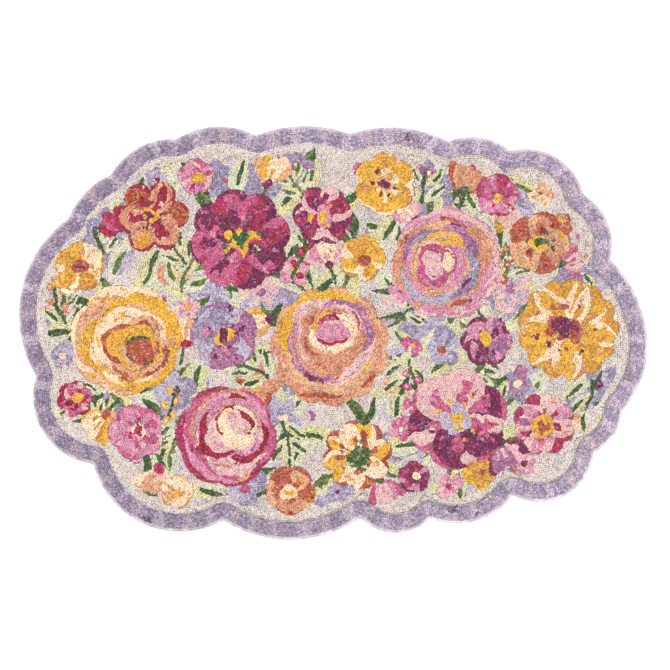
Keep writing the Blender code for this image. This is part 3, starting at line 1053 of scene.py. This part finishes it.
def heathered(chart, cells, border, draw):
    """The colour of each loop's yarn, mixed with its partner's."""
    palette = srgb_to_linear([yarn.colour for yarn in YARNS])
    partner = np.array([YARN_CODE[yarn.partner] for yarn in YARNS])
    yarn = chart.yarn[cells]
    drift = 0.26 * (0.5 + 0.5 * chart.noise(34, 30)[cells])
    speck = (draw.uniform(0, 1, len(yarn)) < 0.13) * np.where(border, 0.34, 0.50)
    share = np.clip(drift + 0.12 * chart.noise(7, 31)[cells] + speck, 0, 1)
    colours = blend(palette[yarn], palette[partner[yarn]], share[:, None])
    grey = (yarn == YARN_CODE["ground"]) & (chart.noise(40, 32)[cells] > 0.25)
    colours[grey] = blend(colours[grey], palette[YARN_CODE["ground_grey"]], 0.45)
    return colours


def yarn_colours(chart, places, rim):
    """Each loop's colour: heathered, lighter or darker by chance, flecked, and pale at the rim. Painted
    light on top: the border paler at the right and darker at the left, painted shade down in the line
    between border and field, and the rim paler at the lower right.
    """
    draw = np.random.default_rng(12)
    count = len(places)
    cells = cells_of(places)
    x, y = places[:, 0], places[:, 1]
    border = rim < BORDER_WIDTH
    colours = heathered(chart, cells, border, draw)
    darkness = 1 - colours.mean(axis=1)
    spread = 0.03 + 0.42 * darkness ** 2.6
    colours *= np.exp(spread * np.clip(draw.standard_normal(count), -2.2, 2.0) - spread ** 2 / 2)[:, None]
    paler = 1 + 0.05 * chart.noise(18, 33)[cells]
    # Painted light: the border's yarn is painted paler at the right and darker at the left
    paler[border] *= 1 + BORDER_PAINTED_LIGHT * np.clip((x + 0.4 * y)[border] / 280, -1, 0.8)
    # Painted shade down in the line between border and field, deepest at the lower right
    deep = np.exp(-((rim - BORDER_WIDTH) / 2.0) ** 2) * (0.75 + 0.25 * chart.noise(22, 36)[cells])
    colours *= (paler * (1 - LINE_SHADE * line_depth(x, y) * deep))[:, None]
    fleck = (draw.uniform(0, 1, count) < 0.07) * draw.uniform(0.1, 0.42, count)
    dark = darkness > 0.62
    fleck *= np.where(dark, darkness ** 2, np.clip(1.6 * darkness, 0.35, 0.8))
    colours = blend(colours, np.where(dark[:, None], PALE_FLECK, DARK_FLECK), fleck[:, None])
    rim_pale_share = EDGE_PALENESS * np.clip(1 - rim / EDGE_WIDTH, 0, 1) * (1 + 0.6 * chart.noise(9, 35)[cells])
    # Painted light: the rim is painted paler towards the lower right, away from the key light
    rim_pale_share = np.clip(rim_pale_share * (1 + 0.4 * np.clip((x * 0.6 - y * 0.8) / 250, -1, 1)), 0, 1)
    pale_edge = srgb_to_linear(YARNS[YARN_CODE["pale_edge"]].colour)
    return np.clip(blend(colours, pale_edge, rim_pale_share[:, None]), 0, 1)


def seat_stitches(stitches):
    """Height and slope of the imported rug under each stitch."""
    packed = bpy.data.objects[RUG].data
    tree = BVHTree.FromPolygons([vertex.co for vertex in packed.vertices],
                                [tuple(face.vertices) for face in packed.polygons])
    down = Vector((0, 0, -1))
    tops = np.zeros(len(stitches))
    normals = np.zeros((len(stitches), 3))
    for index, (x, y) in enumerate(stitches[:, :2].tolist()):
        place, normal, _, _ = tree.ray_cast(Vector((x * MM, y * MM, 0.1)), down)
        if place is None:
            place, normal, _, _ = tree.find_nearest(Vector((x * MM, y * MM, 0.006)))
        tops[index] = place.z / MM
        normals[index] = normal
    return tops, normals


def unit(vectors):
    """Vectors brought to length 1."""
    return vectors / np.linalg.norm(vectors, axis=1, keepdims=True)


def loop_frames(directions, normals, draw):
    """Axes of each loop: along its row, across it, and up with a small lean."""
    count = len(directions)
    up = unit(normals + draw.normal(0, 0.10, (count, 3)) * [1, 1, 0])
    turn = directions + draw.normal(0, 0.22, count)
    along = np.c_[np.cos(turn), np.sin(turn), np.zeros(count)]
    along = unit(along - up * (along * up).sum(axis=1, keepdims=True))
    return along, np.cross(up, along), up


def place_loops(template, centres, frames, draw):
    """Points of every loop, each of a slightly different size and shape."""
    along, across, up = frames
    count = len(centres)
    size = draw.uniform(0.92, 1.10, (count, 1, 1))
    height = LOOP_DEPTH * draw.uniform(0.88, 1.10, (count, 1))
    wobble = 1 + draw.normal(0, 0.045, (count, len(template.points), 2))
    local = template.points[None, :, :2] * size * wobble
    spread = local[..., :1] * along[:, None] + local[..., 1:] * across[:, None]
    places = centres[:, None] + spread + template.points[None, :, 2:] * height[:, None] * up[:, None]
    places[..., 2] = np.maximum(places[..., 2], FLOOR_GAP)
    return places


def add_object(name, data):
    """A new object in the scene."""
    item = bpy.data.objects.new(name, data)
    bpy.context.scene.collection.objects.link(item)
    return item


def add_piece(name, mesh):
    """A new piece of the rug."""
    piece = add_object(name, mesh)
    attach(piece, BODY)
    return piece


def join_copies(name, template, places, shades, draw, material):
    """One mesh of all copies of a template, with their colours and layouts."""
    count, per_copy = places.shape[:2]
    start = (np.arange(count) * per_copy)[:, None]
    corner_ids = np.concatenate([np.array(face)[None] + start for face in template.faces], axis=1)
    sizes = [len(face) for face in template.faces]
    mesh = bpy.data.meshes.new(name)
    mesh.vertices.add(count * per_copy)
    mesh.vertices.foreach_set("co", (places * MM).ravel())
    mesh.loops.add(corner_ids.size)
    mesh.loops.foreach_set("vertex_index", corner_ids.ravel())
    mesh.polygons.add(count * len(sizes))
    mesh.polygons.foreach_set("loop_start", np.concatenate([[0], np.cumsum(np.tile(sizes, count))[:-1]]))
    values = np.concatenate([shades, np.ones((count, per_copy, 1))], axis=2)
    layer = mesh.color_attributes.new("colour_and_painted_light", "FLOAT_COLOR", "POINT")
    layer.data.foreach_set("color", values.ravel())
    add_layouts(mesh, corner_ids, template.flat, count, draw)
    mesh.update(calc_edges=True)
    mesh.validate()
    mesh.shade_smooth()
    mesh.materials.append(material)
    return add_piece(name, mesh)


def build_loops(name, centres, frames, colours, draw, material):
    """Loops of yarn in one mesh, each with painted shade that darkens it towards its foot."""
    template = loop_template()
    places = place_loops(template, centres, frames, draw)
    darkness = 1 - colours.mean(axis=1)
    # Painted shade: each loop's colour darkens towards its foot, more for dark yarns
    depth = 1 + (0.06 + 0.34 * darkness)[:, None] * template.points[None, :, 2]
    return join_copies(name, template, places, colours[:, None] * depth[..., None], draw, material)


def add_layouts(mesh, corner_ids, flat, count, draw):
    """Two layouts: a cell for each copy in a square sheet, and the yarn's own coordinates."""
    columns = ceil(sqrt(count))
    rows = ceil(count / columns)
    cell = np.c_[np.arange(count) % columns, np.arange(count) // columns]
    spot = (cell[:, None] + 0.5 + 0.44 * flat[None]) / [columns, rows]
    own = flat[None] * [1.6, 1.3] + draw.uniform(0, 50, (count, 1, 2))
    for title, values in (("OFBake", spot), ("ply", own)):
        layer = mesh.uv_layers.new(name=title)
        layer.data.foreach_set("uv", values.reshape(-1, 2)[corner_ids.ravel()].ravel())


# Materials

def set_inputs(node, values):
    """Sets a node's inputs by their names."""
    for title, value in values.items():
        node.inputs[title].default_value = value


def new_material(name, values):
    """A material whose shader has the given inputs, and that shader."""
    material = bpy.data.materials.new(name)
    material.use_nodes = True
    shader = material.node_tree.nodes["Principled BSDF"]
    set_inputs(shader, values)
    return material, shader


def add_node(material, kind, values, **settings):
    """A new node with the given inputs and settings."""
    node = material.node_tree.nodes.new("ShaderNode" + kind)
    for title, value in settings.items():
        setattr(node, title, value)
    set_inputs(node, values)
    return node


def link_nodes(material, rows):
    """Links the nodes of each row, from an output to an input."""
    for source, output, target, title in rows:
        material.node_tree.links.new(source.outputs[output], target.inputs[title])


def wool_material():
    """Spun wool: the loop's colour with fine lint, a twisted ply and a soft sheen."""
    material, shader = new_material("looped_wool", {"Roughness": 0.92, "Specular IOR Level": 0.22,
                                                    "Sheen Weight": 0.18, "Sheen Roughness": 0.55})
    colour = add_node(material, "VertexColor", {}, layer_name="colour_and_painted_light")
    place = add_node(material, "TexCoord", {})
    lint = add_node(material, "TexNoise", {"Scale": 1400, "Detail": 3})
    shade = add_node(material, "MapRange", {"From Min": 0.3, "From Max": 0.7, "To Min": 0.86,
                                            "To Max": 1.12})
    tint = add_node(material, "VectorMath", {}, operation="SCALE")
    ply = add_node(material, "UVMap", {}, uv_map="ply")
    twist = add_node(material, "TexWave", {"Scale": 0.9, "Distortion": 1.5}, bands_direction="DIAGONAL")
    ridges = add_node(material, "Bump", {"Strength": 0.45, "Distance": 0.0004})
    fibres = add_node(material, "Bump", {"Strength": 0.35, "Distance": 0.0003})
    link_nodes(material, [
        (place, "Object", lint, "Vector"), (lint, "Fac", shade, "Value"), (colour, "Color", tint, 0),
        (shade, "Result", tint, "Scale"), (tint, "Vector", shader, "Base Color"),
        (ply, "UV", twist, "Vector"), (twist, "Fac", ridges, "Height"), (lint, "Fac", fibres, "Height"),
        (ridges, "Normal", fibres, "Normal"), (fibres, "Normal", shader, "Normal")])
    return material


def canvas_material(name, thread, gap):
    """The foundation cloth: a plain weave of one thread colour, darker in its gaps."""
    material, shader = new_material(name, {"Roughness": 0.95, "Specular IOR Level": 0.15})
    lighter = [1.15 * level for level in thread]
    place = add_node(material, "TexCoord", {})
    weave = add_node(material, "TexBrick", {"Scale": 320, "Color1": (*thread, 1), "Color2": (*lighter, 1),
                                            "Mortar": (*gap, 1)})
    relief = add_node(material, "Bump", {"Strength": 0.5, "Distance": 0.0004})
    link_nodes(material, [
        (place, "Object", weave, "Vector"), (weave, "Color", shader, "Base Color"),
        (weave, "Fac", relief, "Height"), (relief, "Normal", shader, "Normal")])
    return material


# Pieces

def build_foundation():
    """The cloth under the loops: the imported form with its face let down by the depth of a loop."""
    backing = canvas_material("foundation_backing", (0.42, 0.36, 0.29), (0.20, 0.17, 0.13))
    # Painted shade: a darker copy of the canvas for the faces under the pile, seen in the gaps between
    # loops; the underside keeps the plain canvas
    painted_shade_canvas = canvas_material("foundation_painted_shade_canvas", (0.215, 0.168, 0.150), (0.10, 0.078, 0.068))
    shape = bmesh.new()
    shape.from_mesh(bpy.data.objects[RUG].data)
    bmesh.ops.remove_doubles(shape, verts=shape.verts, dist=0.00002)
    for vertex in shape.verts:
        x, y, z = vertex.co / MM
        if abs(z - LINE_FLOOR) < 0.1:
            z = line_height(x, y)
        if z > FACE_FROM:
            vertex.co.z = (z - FACE_DROP) * MM
    mesh = bpy.data.meshes.new("foundation_cloth")
    shape.to_mesh(mesh)
    shape.free()
    mesh.materials.clear()
    mesh.materials.append(painted_shade_canvas)
    mesh.materials.append(backing)
    for face in mesh.polygons:
        face.material_index = int(face.normal.z < -0.9)
    return add_piece("foundation_cloth", mesh)


def face_loops(chart, stitches, material, tiles):
    """The loops of the face, in upright strips so that each piece stays light."""
    draw = np.random.default_rng(77)
    tops, normals = seat_stitches(stitches)
    x, y, directions, distance = stitches.T
    carving = CARVE_LEFT + (CARVE_RIGHT - CARVE_LEFT) * rightness(x)
    tops -= carving * np.exp(-(distance / CARVE_REACH) ** 2)
    rim = chart.inset[cells_of(stitches)]
    tops = np.where(rim > LINE_FROM, np.maximum(line_height(x, y), tops), tops)
    line = np.clip(1.6 * np.exp(-((rim - BORDER_WIDTH - 1) / 4.0) ** 2), 0, 1)
    normals = normals * (1 - line[:, None]) + np.array([0, 0, 1]) * line[:, None]
    colours = yarn_colours(chart, stitches, rim)
    pieces = []
    for number, chosen in enumerate(np.array_split(np.argsort(x, kind="stable"), tiles)):
        chosen = chosen[np.argsort(y[chosen] // 6 * 10000 + x[chosen], kind="stable")]
        centres = np.c_[x[chosen], y[chosen], tops[chosen] + draw.normal(0, 0.16, len(chosen))]
        frames = loop_frames(directions[chosen], normals[chosen], draw)
        name = f"pile_strip_{number + 1}"
        pieces.append(build_loops(name, centres, frames, colours[chosen], draw, material))
    return pieces


def rim_places(inset, spacing, draw):
    """Places along the rim at an even spacing, with the rim's direction and its outward normal at each."""
    points = outline(inset, 1.0)
    length = np.concatenate([[0.0], np.cumsum(steps_round(points))])
    looped = np.vstack([points, points[:1]])
    count = round(length[-1] / spacing)
    along = (np.arange(count) + draw.uniform(-0.12, 0.12, count)) * length[-1] / count % length[-1]
    places = points_at(along, length, looped)
    run = points_at((along + 1.0) % length[-1], length, looped) - places
    run /= np.linalg.norm(run, axis=1, keepdims=True)
    return places, run, np.c_[-run[:, 1], run[:, 0]]


# Rows of loops that turn down over the rim to the floor: how far in and how high they stand, and how
# much they face up
RIM_ROWS = table("inset height lift", [
    (0.3, 6.3, 1.0), (-0.7, 4.2, 0.3), (-0.9, 2.2, 0.05),
])


def rim_loops(chart, material):
    """The loops on the rim's side."""
    draw = np.random.default_rng(55)
    centres = []
    directions = []
    normals = []
    for row in RIM_ROWS:
        places, run, outward = rim_places(row.inset, LOOP_PITCH, draw)
        places = places + outward * draw.uniform(-0.5, 0.3, (len(places), 1))
        centres.append(np.c_[places, row.height + draw.uniform(-0.6, 0.5, len(places))])
        directions.append(np.arctan2(run[:, 1], run[:, 0]))
        normals.append(np.c_[outward, np.full(len(places), row.lift)])
    centres = np.vstack(centres)
    normals = unit(np.vstack(normals))
    colours = yarn_colours(chart, centres[:, :2] - normals[:, :2] * YARN_FROM, np.zeros(len(centres)))
    frames = loop_frames(np.concatenate(directions), normals, draw)
    return build_loops("rim_loops", centres, frames, colours, draw, material)


def rim_hairs(chart, material):
    """Loose fibres that stand off the rim."""
    draw = np.random.default_rng(66)
    template = hair_template()
    places, run, outward = rim_places(0.2, RIM_LENGTH / HAIRS, draw)
    count = len(places)
    roots = np.c_[places, draw.uniform(1.2, 6.6, count)]
    aim = unit(np.c_[outward + run * draw.normal(0, 0.7, (count, 1)), draw.normal(0.25, 0.45, count)])
    side = unit(np.cross(aim, [0.0, 0.0, 1.0]))
    lift = np.cross(side, aim)
    length = draw.uniform(1.6, 3.8, (count, 1, 1))
    girth = draw.uniform(0.05, 0.09, (count, 1, 1))
    right, up, out = template.points.T[:, None, :, None]
    points = roots[:, None] + girth * (right * side[:, None] + up * lift[:, None])
    points += length * out * aim[:, None]
    points[..., 2] = np.maximum(points[..., 2], FLOOR_GAP)
    colours = yarn_colours(chart, places - outward * YARN_FROM, np.zeros(count))
    shades = np.repeat(colours[:, None], len(template.points), axis=1)
    return join_copies("rim_hairs", template, points, shades, draw, material)


# Scene

def build_floor():
    """A plain pale floor."""
    mesh = bpy.data.meshes.new("studio_floor")
    corners = [(-FLOOR_HALF, -FLOOR_HALF, 0), (FLOOR_HALF, -FLOOR_HALF, 0), (FLOOR_HALF, FLOOR_HALF, 0),
               (-FLOOR_HALF, FLOOR_HALF, 0)]
    mesh.from_pydata(corners, [], [(0, 1, 2, 3)])
    material, _ = new_material("studio_white", {"Base Color": (0.93, 0.93, 0.93, 1), "Roughness": 0.9})
    mesh.materials.append(material)
    floor = add_object("studio_floor", mesh)


def add_light(name, place, size, power, colour):
    """A soft square light that looks at the rug's centre."""
    data = bpy.data.lights.new(name, "AREA")
    data.shape = "SQUARE"
    data.size = size
    data.energy = power
    data.color = colour
    lamp = add_object(name, data)
    lamp.location = place
    lamp.rotation_euler = (-Vector(place)).to_track_quat("-Z", "Y").to_euler()


def build_lights():
    """A key from the upper left, a weaker fill, and pale air all round."""
    add_light("key", (-2.2, 1.9, 3.0), 1.3, 151, (1.0, 0.985, 0.965))
    add_light("fill", (1.3, -1.1, 2.2), 2.2, 50, (0.97, 0.98, 1.0))
    world = bpy.data.worlds.new("studio_air")
    world.use_nodes = True
    set_inputs(world.node_tree.nodes["Background"], {"Color": (1, 1, 1, 1), "Strength": 0.80})
    bpy.context.scene.world = world


def build_camera():
    """Straight above, framed so that the rug fills the same box of pixels as in the photograph."""
    length = (cad_box[1][0] - cad_box[0][0]) + 2 * RIM_OVERHANG
    pixel = length / (PHOTO_RIGHT - PHOTO_LEFT)
    view = PHOTO_SIDE * pixel
    data = bpy.data.cameras.new("camera")
    data.sensor_fit = "HORIZONTAL"
    data.sensor_width = 36.0
    data.lens = data.sensor_width * (CAMERA_HEIGHT - PILE_LEVEL) / view
    camera = add_object("camera", data)
    middle_x = (PHOTO_LEFT + PHOTO_RIGHT) / 2
    middle_y = (PHOTO_TOP + PHOTO_BOTTOM) / 2
    aside = (PHOTO_SIDE / 2 - middle_x) * pixel
    camera.location = (aside, (middle_y - PHOTO_SIDE / 2) * pixel, CAMERA_HEIGHT)
    bpy.context.scene.camera = camera


def main():
    """The camera, the lights and the floor, then the rug's pieces."""
    bpy.context.scene.view_settings.view_transform = "Standard"
    build_camera()
    build_lights()
    build_floor()
    chart = Chart()
    draw_rug(chart)
    stitches = hook_rows(chart)
    wool = wool_material()
    foundation = build_foundation()
    pile = face_loops(chart, stitches, wool, tiles=6)
    pile += [rim_loops(chart, wool), rim_hairs(chart, wool)]
    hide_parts(RUG)
    flat_area = abs(polygon_area(outline(0.0))) * MM * MM


main()
